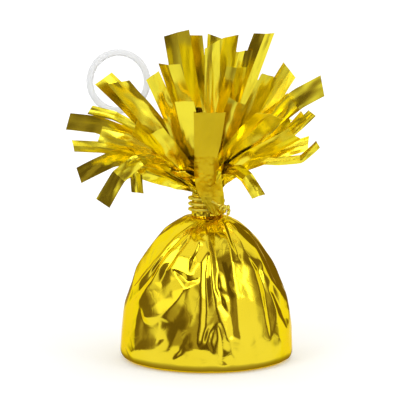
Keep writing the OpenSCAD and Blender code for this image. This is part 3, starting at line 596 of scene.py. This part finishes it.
# Layers: name, layer, first and last azimuth of the roots, and rows of
# (azimuth of the tip, reach, rise, knee, bow, width, roll, slant of the cut end, climb of the first leg)
FRINGES = [
    ("outer_fringe_left", 0, -104, -37, [
        (-89, 1, 0.44, 0.6, 0.19, 0.8, -65, 0.2, 0.2), (-84, 0.83, 0.55, 0.6, 0.16, 0.5, -60, 0.3, 0.22),
        (-80, 0.98, 0.315, 0.6, 0.13, 0.55, -70, -0.2, 0.2),
        (-75, 0.52, 0.035, 1.25, 0.3, 0.55, -85, 0.2, 0.1),
        (-72, 0.96, 0.165, 0.64, 0.27, 0.75, -60, 0.2, 0.2),
        (-66, 0.85, 0.41, 0.6, 0.12, 0.85, -72, 0.3, 0.15),
        (-54.5, 0.91, 0.025, 0.74, 0.385, 0.7, -35, 0.1, 0.3),
        (-47, 0.74, 0.47, 0.6, 0.065, 0.8, -78, 0.2, 0.155),
        (-36, 0.5, 0.2, 0.7, 0.06, 0.45, -50, 0.3, 0.08)]),
    ("outer_fringe_front", 0, -35, 25, [
        (-36, 0.6, 0.4, 0.6, 0.04, 0.62, 24, 0.2, 0.08), (-29, 0.42, 0.22, 0.6, 0, 0.6, 6, -0.2, 0.1),
        (-24, 0.3, 0.2, 0.6, 0, 0.6, -4, 0.1, 0.1), (23, 0.36, 0.2, 0.6, 0, 0.6, 48, -0.1, 0.1)]),
    ("outer_fringe_right", 0, 25, 95, [
        (33, 0.71, 0.045, 0.63, 0.24, 0.62, 40, 0.3, 0.24),
        (47, 0.86, 0.465, 0.6, 0.02, 0.9, -50, -0.2, 0.17), (60, 0.94, 0.365, 0.77, -0.19, 0.4, 65, 0, 0.44),
        (66, 0.775, 0.52, 0.69, -0.09, 0.45, 60, 0.2, 0.22),
        (71, 0.745, 0.363, 0.6, 0.02, 0.7, 60, 0.3, 0.22),
        (82, 0.78, 0.51, 0.69, -0.09, 0.45, 60, -0.2, 0.22)]),
    ("outer_fringe_back", 0, 97, 253, [
        (104, 0.64, 0.4, 0.6, 0.03, 0.85, 50, 0.3, 0.16), (121, 0.8, 0.3, 0.65, 0.1, 0.8, -35, 0.2, 0.16),
        (139, 0.86, 0.36, 0.6, 0.05, 0.9, 20, -0.3, 0.14), (157, 0.78, 0.2, 0.7, 0.12, 0.8, -8, 0.2, 0.14),
        (175, 0.84, 0.34, 0.6, 0.04, 0.85, 12, 0.3, 0.12), (192, 0.8, 0.05, 0.7, 0.14, 0.8, -10, -0.2, 0.1),
        (210, 0.84, 0.16, 0.65, 0.04, 0.85, 20, 0.2, 0.06), (228, 0.8, 0.02, 0.7, 0.1, 0.8, -30, 0.3, 0.06),
        (247, 0.68, 0.13, 0.65, 0.03, 0.85, -50, -0.2, 0.06)]),
    ("middle_fringe_left", 1, -78, -40, [
        (-77, 0.78, 0.73, 0.55, 0.07, 1, -74, 0.3, 0.14), (-61, 0.7, 0.73, 0.6, 0.04, 1.05, -80, 0.8, 0.14),
        (-48, 0.52, 0.765, 0.6, 0, 0.75, 42, 0.4, 0.12)]),
    ("middle_fringe_front", 1, -30, 46, [
        (-17, 0.57, 0.6, 0.6, 0.02, 0.9, 4, 0, 0.05), (-10, 0.42, 0.62, 0.6, 0.03, 0.7, -6, 0.1, 0.05),
        (3, 0.63, 0.55, 0.6, 0.02, 1.3, 0, 0, 0.05), (25, 0.5, 0.61, 0.6, 0.02, 0.9, -38, -0.1, 0.05),
        (36, 0.76, 0.58, 0.6, 0.06, 1.25, -30, 0.3, 0.07),
        (46, 0.62, 0.765, 0.6, 0.02, 0.75, -50, 0.2, 0.05)]),
    ("middle_fringe_right", 1, 50, 112, [
        (60, 0.51, 0.74, 0.6, 0, 0.6, -50, 0.2, 0.05), (76, 0.62, 0.6, 0.6, 0.03, 0.8, 70, 0.2, 0.05),
        (94, 0.84, 0.66, 0.56, 0.16, 0.95, 76, 0.3, 0.2),
        (106, 0.64, 0.735, 0.6, 0.02, 0.95, 50, 0.3, 0.05)]),
    ("middle_fringe_back", 1, 115, 187, [
        (120, 0.7, 0.52, 0.6, 0.03, 0.9, 45, 0.2, 0.05), (136, 0.55, 0.68, 0.6, 0.03, 0.85, 25, -0.2, 0.05),
        (152, 0.72, 0.5, 0.6, 0.03, 0.9, 8, 0.3, 0.05), (168, 0.58, 0.68, 0.6, 0.03, 0.9, -8, 0.2, 0.05),
        (184, 0.72, 0.46, 0.6, 0.03, 0.85, 8, -0.2, 0.05)]),
    ("crown_fringe_left", 2, -68, -34, [
        (-66, 0.24, 0.995, 0.6, 0, 1.2, 60, 0.1, 0.06), (-36, 0.41, 0.86, 0.6, 0, 1.15, 4, 0, 0.06)]),
    ("crown_fringe_front", 2, -20, 42, [
        (22, 0.2, 0.93, 0.6, 0, 0.85, 16, 0.4, 0.06), (38, 0.35, 0.83, 0.6, 0.02, 0.9, -38, 0.2, 0.06)]),
    ("crown_fringe_right", 2, 50, 112, [
        (59, 0.34, 0.88, 0.6, 0.02, 0.7, -45, 0.3, 0.06), (88, 0.4, 1, 0.6, 0, 0.95, -70, 0.3, 0.06),
        (108, 0.2, 0.96, 0.6, 0, 0.8, -78, 0.3, 0.06)]),
    ("crown_fringe_back", 2, 129, 187, [
        (134, 0.34, 0.84, 0.6, 0.02, 0.9, 25, 0.2, 0.06), (158, 0.19, 0.95, 0.6, 0, 0.88, 8, 0.3, 0.06),
        (184, 0.4, 0.8, 0.6, 0, 0.9, -6, -0.2, 0.06), (235, 0.14, 0.97, 0.6, 0, 1.1, -55, 0.1, 0.06)]),
]
# Bends across the strips, taken in turn: how far along each lies, and how steeply the strip turns there
BENDS = [(0.5, 0.1), (0.62, -0.11), (0.4, 0.06), (0.7, 0.14), (0.55, -0.08)]
STRIP_ROWS, STRIP_SEGMENTS = 40, 6
FILM_T = 0.12
PLEAT_H, CREASE_AT = 0.42, 0.67  # height of the pleats at the root, and where a second crease lies
# Heights of the film's long waves and of its crumpling
SWELL, CRUMPLE = 0.35, 0.3
# How soon the pleats of a strip have opened, and how much wider the short strips in front of the neck lie
OPENING, FRONT_OPENING, FRONT_WIDER = 0.42, 0.2, 1.3


def strip_curve(row, layer, azimuth):
    """A strip's curve, made as in part.scad: its root, the end of its first leg, its knee and its tip."""
    tip_azimuth, reach, rise, knee, bow = row[:5]
    z0, climb = NECK_TOP + layer * STEP_H, row[8] * RISE
    return [
        around(azimuth, ROOT_RS[layer], z0),
        around(azimuth, ROOT_RS[layer] + LEAN_SHARE * climb, z0 + climb),
        around(tip_azimuth, reach * knee * REACH, NECK_TOP + (rise * knee + bow) * RISE),
        around(tip_azimuth, reach * REACH, NECK_TOP + rise * RISE),
    ]


def ribbon(row, layer, azimuth, root_wide, full, sign, bend, opening, rnd):
    """One strip of film on its curve: pleats that open from the root, and flat stretches between bends."""
    p = strip_curve(row, layer, azimuth)
    tip_azimuth, roll_angle, cut = row[0], row[6], row[7]
    columns = 2 * STRIP_SEGMENTS + 1
    zigzag = [(1 if k % 2 else -1) * rnd.uniform(0.75, 1.15) for k in range(STRIP_SEGMENTS + 1)]
    side_fold = rnd.choice((-CREASE_AT, CREASE_AT))
    side_fold_h = rnd.uniform(0.005, 0.03) * full * -sign
    fold = sign * rnd.choice((0.01, 0.03, 0.1))
    skew = rnd.uniform(-0.1, 0.1)
    late_bend, late_turn = rnd.uniform(0.75, 0.88), rnd.uniform(-0.12, 0.12)
    knots = [0, 0.14, 0.27, rnd.uniform(0.38, 0.44), rnd.uniform(0.56, 0.64), rnd.uniform(0.76, 0.84), 1]
    corners = [bezier(p, k) for k in knots]
    wave = Vector((rnd.uniform(0, 90), rnd.uniform(0, 90), 0))

    def path(t):
        low = max(k for k in range(len(knots) - 1) if knots[k] <= t)
        share = (t - knots[low]) / (knots[low + 1] - knots[low])
        straight = blended(corners[low], corners[low + 1], share)
        return blended(bezier(p, t), straight, 0.85 * ease((t - 0.1) / 0.2))

    front, back = [], []
    for j in range(STRIP_ROWS + 1):
        t = j / STRIP_ROWS
        heading = UP if j == 0 else unit(path(min(1, t + 0.03)) - path(max(0, t - 0.03)))
        level = around(blended(azimuth, tip_azimuth, ease(t)) + 90, 1, 0)
        flat_side = unit(level - np.dot(level, heading) * heading)
        flat_up = np.cross(heading, flat_side)
        roll = math.radians(roll_angle * ease(t / 0.6))
        side = flat_side * math.cos(roll) + flat_up * math.sin(roll)
        up = np.cross(heading, side)
        wide = blended(root_wide, full, ease(t / 0.3))
        opened = ease((t - 0.04) / opening)
        depth = PLEAT_H * ease(t / 0.06 + 0.4) * (1 - opened)
        centre = path(t)
        slant = cut * full / 2 * ease((t - 0.6) / 0.4)
        for k in range(columns):
            c = 2 * k / (columns - 1) - 1
            tooth = zigzag[k // 2] if k % 2 == 0 else (zigzag[k // 2] + zigzag[k // 2 + 1]) / 2
            rise = tooth * depth + fold * wide * ease(t / 0.6) * (1 - abs(c))
            rise += side_fold_h * opened * max(0, 1 - abs(c - side_fold) / CREASE_AT)
            rise += bend[1] * max(0, t + skew * c - bend[0]) * REACH
            rise += late_turn * max(0, t - skew * c - late_bend) * REACH
            rise += noise.noise(wave + Vector((c * 0.6, t * 2.4, 0))) * SWELL * ease(t / 0.3)
            rise += noise.noise(wave + Vector((c * 1.3, t * 9, 7))) * CRUMPLE * ease(t / 0.2)
            point = centre + side * wide / 2 * c + heading * slant * c + up * rise
            front.append(point + up * FILM_T / 2)
            back.append(point - up * FILM_T / 2)
    return front, back


def closed_film(rows, columns, first=0, flip=False):
    """Faces of a film with a front and a back grid, closed along its border."""
    second = first + rows * columns
    faces = band_faces(rows, columns, first, False, flip) + band_faces(rows, columns, second, False, not flip)
    last_row, last_column = (rows - 1) * columns, columns - 1
    border = [j * columns for j in range(rows)] + [last_row + i for i in range(1, columns)]
    border += [j * columns + last_column for j in range(rows - 2, -1, -1)] + list(range(columns - 2, 0, -1))
    for a, b in zip(border, border[1:] + border[:1]):
        rim = (first + a, first + b, second + b, second + a)
        faces.append(rim[::-1] if flip else rim)
    return faces


def curve_length(row, layer, azimuth):
    p = strip_curve(row, layer, azimuth)
    steps = [bezier(p, k / 30) for k in range(31)]
    return sum(float(np.linalg.norm(b - a)) for a, b in zip(steps, steps[1:]))


def fringe(name, layer, start, end, rows, seed):
    """The strips of one side and layer as one piece."""
    rnd = random.Random(seed)
    points, faces, cuts = [], [], []
    root_wide = 2 * math.pi * (ROOT_RS[layer] - ROOT_INSET) * (end - start) / 360 / len(rows) - ROOT_GAP
    opening, wider = (FRONT_OPENING, FRONT_WIDER) if name == "outer_fringe_front" else (OPENING, 1)
    for i, row in enumerate(rows):
        if (name, i) == ("middle_fringe_front", 2):
            continue  # the front strip is a piece of its own
        azimuth = blended(start, end, (i + 0.5) / len(rows))
        full = row[5] * STRIP_W * wider
        sign, bend = 1 if i % 2 == 0 else -1, BENDS[i % len(BENDS)]
        faces += closed_film(STRIP_ROWS + 1, 2 * STRIP_SEGMENTS + 1, len(points))
        front, back = ribbon(row, layer, azimuth, min(STRIP_W, root_wide), full, sign, bend, opening, rnd)
        points += front + back
        cuts.append((full, curve_length(row, layer, azimuth)))
    obj = add_mesh(name + "_film", points, faces, sharp=7)
    stand_for(name, obj, foil_strip_look)


for k, group in enumerate(FRINGES):
    fringe(*group, seed=100 + k)


# Gathered foil above the neck, a pleated and flared sleeve, as rows of (radius, height, depth of the pleats)
GATHER = [(5.6, 62.5, 0.4), (5.65, 66.0, 0.4), (5.7, 68.5, 0.5), (5.75, 69.6, 0.5), (5.9, 70.6, 0.6)]
GATHER_PLEATS, GATHER_ROWS, GATHER_T = 26, 15, 0.15
GATHER_EDGE = 0.3  # unevenness of the upper edge


def gathered_foil(seed):
    rnd = random.Random(seed)
    n = GATHER_PLEATS * 4
    skew = [rnd.uniform(0.6, 1.3) for _ in range(GATHER_PLEATS + 1)]
    lift = [rnd.uniform(-1, 1) * GATHER_EDGE for _ in range(GATHER_PLEATS + 1)]
    outside, inside = [], []
    for j in range(GATHER_ROWS):
        t = j / (GATHER_ROWS - 1)
        s = t * (len(GATHER) - 1)
        a = min(int(s), len(GATHER) - 2)
        r, z, depth = (blended(low, high, s - a) for low, high in zip(GATHER[a], GATHER[a + 1]))
        for i in range(n):
            azimuth = -180 + 360 * i / n
            phase = (azimuth + 180) * GATHER_PLEATS / 360
            cell = int(phase) % GATHER_PLEATS
            tooth = abs(phase % 1 - 0.5) * 2
            uneven = noise.noise(Vector((azimuth * 0.2, z * 0.3, seed))) * 0.25
            h = (tooth - 0.5) * depth * skew[cell] + uneven
            turned = azimuth + noise.noise(Vector((z * 0.2, azimuth * 0.1, 3))) * 2
            top = z + lift[cell] * (1 - tooth) * t * t
            outside.append(around(turned, r + h, top))
            inside.append(around(turned, r + h - GATHER_T, top))
    faces = sleeve_faces(GATHER_ROWS, n)
    for i in range(n):
        k = (i + 1) % n
        faces.append((k, i, len(outside) + i, len(outside) + k))
    return add_mesh("gathered_foil", outside + inside, faces)


stand_for("neck_gather", gathered_foil(5), foil_strip_look)


# The front strip: from its end, over a fold, down in front of the neck and over the tie.
# Rows of (height, radius, left and right azimuth)
FRONT_STRIP = [
    (108.3, 27.5, -11.2, 16.5), (103.5, 25.6, -11.8, 16.3), (98.5, 23.6, -12.7, 15.9),
    (93.5, 21.7, -13.6, 15), (88.8, 19.8, -14.7, 13.1), (88.2, 19.4, -14.9, 13.7), (84.8, 17.4, -17.4, 17.4),
    (81.2, 15.4, -19.7, 22.1), (78, 13.5, -21.3, 27.8), (75, 11.5, -23, 35), (72.5, 9.9, -22.6, 44.2),
    (70, 8.8, -18.6, 54.9), (67.5, 8.4, -9, 62), (65.3, 8.35, 2, 60), (63.4, 8.3, 12, 54),
    (62.2, 8.2, 20, 44),
]
FRONT_LINES, FRONT_COLUMNS = 9, 25
FRONT_SEAT, FRONT_RELIEF = 0.1, 0.7  # distance from the table's surface, and share of the crumpling
CRUMPLED_Z = 71.5  # below this height the strip is pressed over the tie and crumpled, above it is smooth


def front_strip(seed):
    rnd = random.Random(seed)
    stretches = len(FRONT_STRIP) - 1
    rows, columns = 4 * stretches + 1, FRONT_COLUMNS
    # Crease lines: place across the strip, lean, half width and height
    lines = [(rnd.uniform(-0.9, 0.9), rnd.uniform(-0.25, 0.25), rnd.uniform(0.1, 0.3), rnd.uniform(0.12, 0.3))
             for _ in range(FRONT_LINES)]
    front, back = [], []
    for j in range(rows):
        s = j / (rows - 1) * stretches
        a = min(int(s), stretches - 1)
        z, r, left, right = (blended(p, q, s - a) for p, q in zip(FRONT_STRIP[a], FRONT_STRIP[a + 1]))
        down = 2 * j / rows - 1
        for i in range(columns):
            c = 2 * i / (columns - 1) - 1
            h = sum(high * max(0, 1 - abs(c - at - lean * down) / wide) for at, lean, wide, high in lines)
            h += noise.noise(Vector((c * 2.2, z * 0.45, 9))) * 0.45
            h *= ease((CRUMPLED_Z - z) / 5) * 0.8 + 0.12
            azimuth = blended(left, right, (c + 1) / 2)
            ragged = noise.noise(Vector((c * 3, z, 2))) * 0.4
            here = around(azimuth, r + FRONT_SEAT + FRONT_RELIEF * h, z + ragged)
            front.append(here)
            back.append(here * np.array([1 - FILM_T / r, 1 - FILM_T / r, 1]))
    obj = add_mesh("folded_foil", front + back, closed_film(rows, columns, flip=True), sharp=12)
    stand_for("middle_fringe_front", obj, front_strip_shaded_look)
    pairs = zip(FRONT_STRIP, FRONT_STRIP[1:])
    length = sum(math.hypot(b[0] - a[0], b[1] - a[1]) for a, b in pairs)


front_strip(71)


# Tie, with the sizes of part.scad: the sleeve's diameter, its rise in a turn, its turns, and the azimuth, gap
# and share of a turn of its crossing ends
TIE_D, TIE_PITCH, TIE_TURNS = 1.5, 2.2, 3
TIE_AZ, STRAND_GAP, CROSS = 32, 0.7, 0.2
TIE_SEAT, TIE_LIFT = 0.15, 1.2  # gap to the neck, and how far above the neck's foot the first turn lies
PAIR_LENGTH, PAIR_START = 5.6, 60  # length of the twisted pair, and the angle at which its twist starts
CROSS_STEPS, PAIR_STEPS, WOUND_STEPS, TIE_SIDES = 12, 16, 120, 14
TIE_R = NECK_R + TIE_SEAT + TIE_D / 2


def tie_path():
    """The same path as in part.scad: the wound turns, both crossings and the twisted pair."""
    low = NECK_LOW + TIE_LIFT
    high = low + TIE_TURNS * TIE_PITCH
    off = (TIE_D + STRAND_GAP) / 2
    out, along = around(TIE_AZ, 1, 0), around(TIE_AZ + 90, 1, 0)
    start = out * (TIE_R + 2 * TIE_D + STRAND_GAP) + UP * (low + high) / 2

    def offset(side, angle):
        a = math.radians(PAIR_START + angle)
        return side * off * (along * -math.cos(a) + UP * math.sin(a))

    def strand(side):
        azimuth = TIE_AZ - side * CROSS * 180
        first = around(azimuth, TIE_R, high if side > 0 else low)
        heading = around(azimuth + side * 90, 1, 0)
        end = start + offset(side, 0)
        p = [first, first + heading * TIE_D + out * TIE_D / 2, end - out * TIE_D + UP * side * TIE_D / 2, end]
        points = [bezier(p, i / CROSS_STEPS) for i in range(1, CROSS_STEPS + 1)]
        for i in range(1, PAIR_STEPS + 1):
            points.append(start + out * PAIR_LENGTH * i / PAIR_STEPS + offset(side, 360 * i / PAIR_STEPS))
        return points + [points[-1] + unit(points[-1] - points[-2]) * TIE_D]

    wound = []
    for i in range(WOUND_STEPS + 1):
        t = i / WOUND_STEPS
        azimuth = TIE_AZ + CROSS * 180 + 360 * (TIE_TURNS - CROSS) * t
        wound.append(around(azimuth, TIE_R, blended(low, high, t)))
    return strand(-1)[::-1] + wound + strand(1)


def tie_tube():
    """A crumpled tube along the tie's path."""
    path, n = tie_path(), TIE_SIDES
    points = []
    for i, here in enumerate(path):
        t = unit(path[min(i + 1, len(path) - 1)] - path[max(i - 1, 0)])
        u = unit(UP - t[2] * t)
        v = np.cross(t, u)
        for k in range(n):
            a = 2 * math.pi * k / n
            crumple = noise.noise(Vector((i * 0.45, math.cos(a) * 1.6, math.sin(a) * 1.6)))
            r = TIE_D / 2 * (0.9 + 0.3 * crumple)
            points.append(here + r * (u * math.cos(a) + v * math.sin(a)))
    faces = band_faces(len(path), n)
    faces.append(tuple(range(n - 1, -1, -1)))
    faces.append(tuple((len(path) - 1) * n + k for k in range(n)))
    return add_mesh("crumpled_tie", points, faces)


stand_for("tie_sleeve", tie_tube(), foil_tie_look)


# Looks of the CAD nodes, also of those that a piece above stands for
for node, material in (
    ("tie_ring", ring_look), ("ring_anchor", anchor_look), ("dome_cup", cup_look),
    ("plaster_fill", plaster_look), ("base_board", board_look), ("tie_wire", wire_look),
    ("tie_sleeve", foil_tie_look), ("foil_wrap", foil_wrap_look), ("neck_gather", foil_strip_look),
    *((group[0], foil_strip_look) for group in FRINGES),
):
    dress(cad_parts[node], material)
SHARP_FROM = 35
for node in ("tie_ring", "ring_anchor", "dome_cup"):
    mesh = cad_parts[node].data
    mesh.polygons.foreach_set("use_smooth", [True] * len(mesh.polygons))
    mesh.set_sharp_from_angle(angle=math.radians(SHARP_FROM))


# Floor, light and camera
def ray_mix(nodes, seen, lit, out):
    """seen is what the camera, metal and glass see. lit is what lights everything else."""
    rays = add_node(nodes, "LightPath")
    share = rays.outputs["Is Camera Ray"]
    for kind in ("Is Glossy Ray", "Is Transmission Ray"):
        either = add_node(nodes, "Math")
        either.operation = "MAXIMUM"
        join(share, either, 0)
        join(rays.outputs[kind], either, 1)
        share = either.outputs[0]
    mix = add_node(nodes, "MixShader")
    join(share, mix, 0)
    join(lit.outputs[0], mix, 1)
    join(seen.outputs[0], mix, 2)
    join(mix.outputs[0], out, "Surface")


WHITE = (1, 1, 1, 1)
world = bpy.data.worlds.new("studio")
bpy.context.scene.world = world
nodes = cleared(world)
white = add_node(nodes, "Background", Color=WHITE, Strength=1.0)
soft = add_node(nodes, "Background", Color=WHITE, Strength=0.75)
ray_mix(nodes, white, soft, add_node(nodes, "OutputWorld"))

# The floor is matt, and glows: weakly near the object, a painted shade round it that deepens its real shadow,
# and more further out
FLOOR_SIZE = 6
GLOW_RS, GLOW_LEVELS = (0.08, 0.5), (0.2, 0.4)  # distances in metres, and strengths there
bpy.ops.mesh.primitive_plane_add(size=FLOOR_SIZE, location=(0, 0, 0))
floor = bpy.context.active_object
floor.name = "studio_floor"
pale = bpy.data.materials.new("pale_floor")
nodes = cleared(pale)
matt = add_node(nodes, "BsdfDiffuse", Color=(0.9, 0.9, 0.9, 1))
glow = add_node(nodes, "Emission", Color=WHITE)
where = add_node(nodes, "NewGeometry")
away = add_node(nodes, "VectorMath")
away.operation = "LENGTH"
join(where.outputs["Position"], away, 0)
# Painted shade: the glow is weaker near the object
join(spread(nodes, away.outputs["Value"], *GLOW_LEVELS, *GLOW_RS), glow, "Strength")
lifted = add_node(nodes, "AddShader")
join(matt.outputs[0], lifted, 0)
join(glow.outputs[0], lifted, 1)
ray_mix(nodes, lifted, matt, add_node(nodes, "OutputMaterial"))
dress(floor, pale)


# Soft patches of the studio: azimuth and elevation of the middle, half sizes, edge softness, level
STUDIO_LEVEL = 0.37
PATCHES = [
    (6, 20, 12, 40, 9, 0.1), (-22, 38, 7, 26, 8, 0.85), (-44, 20, 9, 40, 10, 0.13), (-66, 30, 10, 34, 9, 0.9),
    (-100, 20, 14, 40, 12, 0.17), (-134, 26, 16, 34, 12, 0.95), (-165, 20, 9, 30, 10, 0.28),
    (173, 26, 12, 30, 10, 0.8), (145, 20, 16, 40, 10, 0.17), (118, 26, 12, 34, 10, 0.95),
    (95, 20, 9, 40, 10, 0.17), (54, 30, 20, 34, 8, 0.92), (26, 20, 5, 40, 6, 0.24), (-76, 38, 22, 12, 5, 1.2),
]
CEILING = [
    (-50, 66, 50, 12, 8, 0.95), (70, 70, 60, 10, 8, 0.9), (180, 64, 50, 10, 8, 0.8), (10, 58, 30, 6, 6, 0.2),
]
STUDIO_R, STUDIO_COLUMNS = 1900, 180
FLOOR_Z, FLOOR_RINGS = 0.4, (35, 38, 42, 48, 56, 66, 80, 100, 130, 190, 500, STUDIO_R)
FOOT_SHADOW_LEVEL, RING_LEVEL = 0.25, 0.92  # levels of the floor: a painted shadow at the object's foot, and just outside it
WARMEST = 0.64  # green as a share of red, and blue of green, where the studio is darkest


def studio():
    """An enclosure that only shiny surfaces see: grey, with soft bright and dark patches. Its floor is dark
    at the object's foot, a painted shadow there that the foil's foot reflects, and bright just outside it."""
    rows = [(r, FLOOR_Z, 0) for r in FLOOR_RINGS]
    for elevation in range(3, 88, 3):
        e = math.radians(elevation)
        rows.append((STUDIO_R * math.cos(e), STUDIO_R * math.sin(e), elevation))
    points, levels = [], []
    for r, z, elevation in rows:
        for i in range(STUDIO_COLUMNS):
            azimuth = -180 + 360 * i / STUDIO_COLUMNS
            level = STUDIO_LEVEL
            for middle, high, half_w, half_h, edge, value in PATCHES + CEILING:
                off = abs((azimuth - middle + 180) % 360 - 180)
                across = ease((half_w - off) / edge + 0.5)
                upright = ease((half_h - abs(elevation - high)) / edge + 0.5)
                level = blended(level, value, across * upright)
            # Painted shadow: the floor rings are darker at the object's foot
            ring = blended(FOOT_SHADOW_LEVEL, RING_LEVEL, ease((r - 34) / 16))
            level = blended(ring, level, ease((r - 90) / 110))
            points.append(around(azimuth, r, z))
            warm = blended(WARMEST, 1, clamp(level / 0.6))
            levels += [level, level * warm, level * warm * warm, 1]
    faces = band_faces(len(rows), STUDIO_COLUMNS)
    faces.append(tuple(range(len(points) - STUDIO_COLUMNS, len(points))))
    obj = add_mesh("studio_enclosure", points, faces)
    shade = obj.data.color_attributes.new("level", "FLOAT_COLOR", "POINT")
    shade.data.foreach_set("color", levels)
    obj.visible_camera = obj.visible_diffuse = obj.visible_shadow = obj.visible_transmission = False
    look = bpy.data.materials.new("studio_grey")
    nodes = cleared(look)
    emit = add_node(nodes, "Emission")
    stored = add_node(nodes, "VertexColor")
    stored.layer_name = "level"
    join(stored.outputs["Color"], emit, "Color")
    join(emit.outputs[0], add_node(nodes, "OutputMaterial"), "Surface")
    dress(obj, look)


studio()


LAMP_AIM = (0, 0, 0.06)


def lamp(name, place, size, level):
    """A soft lamp, aimed at the object. level is the brightness of its face."""
    data = bpy.data.lights.new(name, "AREA")
    data.shape = "RECTANGLE"
    data.size, data.size_y = size
    data.energy = level * math.pi * size[0] * size[1]
    obj = bpy.data.objects.new(name, data)
    obj.location = place
    obj.rotation_euler = (Vector(LAMP_AIM) - Vector(place)).to_track_quat("-Z", "Y").to_euler()
    bpy.context.scene.collection.objects.link(obj)


lamp("lamp_key", (-0.75, -0.85, 1.05), (0.5, 0.5), 3.6)
lamp("lamp_right", (0.95, -0.6, 0.75), (0.35, 0.7), 2.6)
lamp("lamp_top", (0.1, 0.25, 1.4), (0.8, 0.6), 2.0)

# The camera looks down at ELEVATION degrees, and FRAME_W metres fill its frame at the target
scene = bpy.context.scene
scene.view_settings.view_transform = "Standard"
ELEVATION, DISTANCE, FRAME_W, SENSOR_W = 9.5, 1.6, 0.168, 36
target = Vector((-0.00273, 0, 0.0673))
data = bpy.data.cameras.new("camera")
data.sensor_width = SENSOR_W
data.lens = SENSOR_W * DISTANCE / FRAME_W
camera = bpy.data.objects.new("camera", data)
e = math.radians(ELEVATION)
camera.location = target + DISTANCE * Vector((0, -math.cos(e), math.sin(e)))
camera.rotation_euler = (target - camera.location).to_track_quat("-Z", "Y").to_euler()
scene.collection.objects.link(camera)
scene.camera = camera
